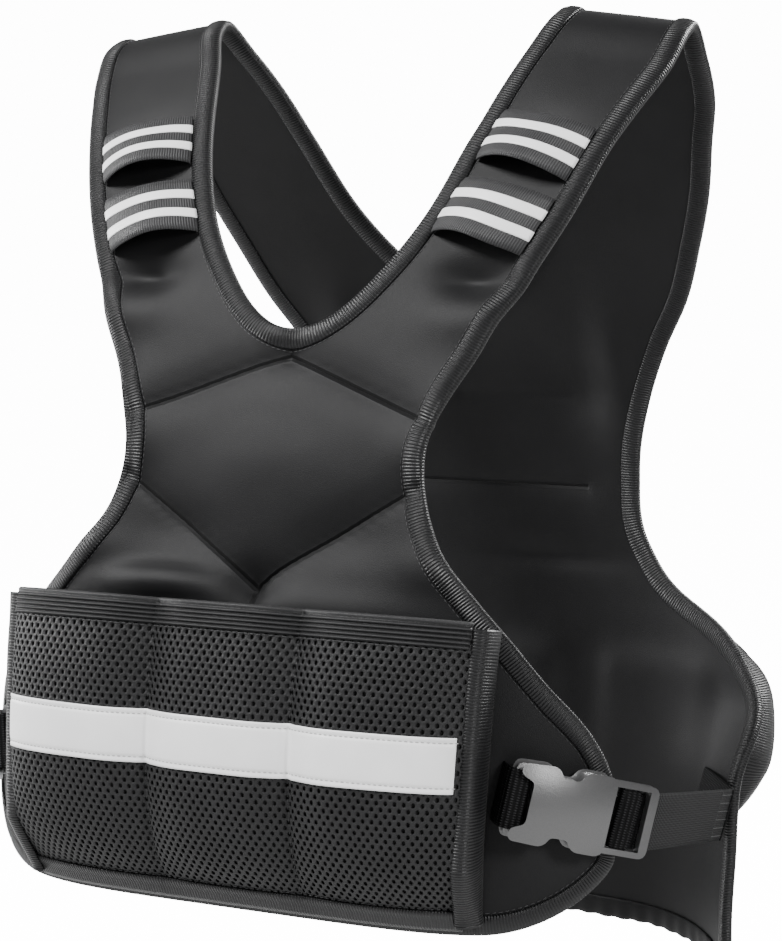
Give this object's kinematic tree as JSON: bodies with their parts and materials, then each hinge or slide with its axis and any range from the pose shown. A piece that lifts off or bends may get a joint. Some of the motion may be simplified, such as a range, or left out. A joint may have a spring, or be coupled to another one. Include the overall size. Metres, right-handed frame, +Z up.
{
  "type": "weighted vest",
  "caption": "Foam-cloth exercise vest with bound edges, open-topped mesh weight pockets in front and behind, elastic shoulder loops and side-release buckles.",
  "frame": {"origin": "midway between the shoulder straps, at the mean level of the undersides that rest on the wearer's shoulders", "axes": "+X is the wearer's left, -Y the wearer's front, +Z up"},
  "size_m": [0.3882, 0.3627, 0.5144],
  "materials": {
    "foam_cloth": "matte knitted face over foam rubber",
    "edge_tape": "ribbed, slightly shiny",
    "air_mesh": "knitted mesh with open holes",
    "elastic": "fine ribs",
    "reflective_tape": "silver-white, satin",
    "buckle_plastic": "moulded, satin",
    "webbing": "woven"
  },
  "bodies": {
    "root": {"front_panel": "foam_cloth", "back_panel": "foam_cloth", "neck_binding": "edge_tape", "side_binding_left": "edge_tape", "side_binding_right": "edge_tape", "front_hem_binding": "edge_tape", "back_hem": "foam_cloth", "front_pocket_mesh": "air_mesh", "front_pocket_elastic": "elastic", "front_pocket_stripe": "reflective_tape", "front_pocket_side_binding_left": "edge_tape", "front_pocket_side_binding_right": "edge_tape", "front_pocket_bottom_binding": "edge_tape", "back_pocket_mesh": "air_mesh", "back_pocket_elastic": "elastic", "back_pocket_side_binding_left": "edge_tape", "back_pocket_side_binding_right": "edge_tape", "back_pocket_bottom_binding": "edge_tape", "shoulder_loop_upper_left": "elastic", "shoulder_loop_lower_left": "elastic", "shoulder_loop_upper_right": "elastic", "shoulder_loop_lower_right": "elastic", "loop_stripe_upper_left_a": "reflective_tape", "loop_stripe_upper_left_b": "reflective_tape", "loop_stripe_lower_left_a": "reflective_tape", "loop_stripe_lower_left_b": "reflective_tape", "loop_stripe_upper_right_a": "reflective_tape", "loop_stripe_upper_right_b": "reflective_tape", "loop_stripe_lower_right_a": "reflective_tape", "loop_stripe_lower_right_b": "reflective_tape", "buckle_socket_left": "buckle_plastic", "buckle_plug_left": "buckle_plastic", "webbing_front_left": "webbing", "webbing_back_left": "webbing", "buckle_socket_right": "buckle_plastic", "buckle_plug_right": "buckle_plastic", "webbing_front_right": "webbing", "webbing_back_right": "webbing"}
  },
  "joints": []
}
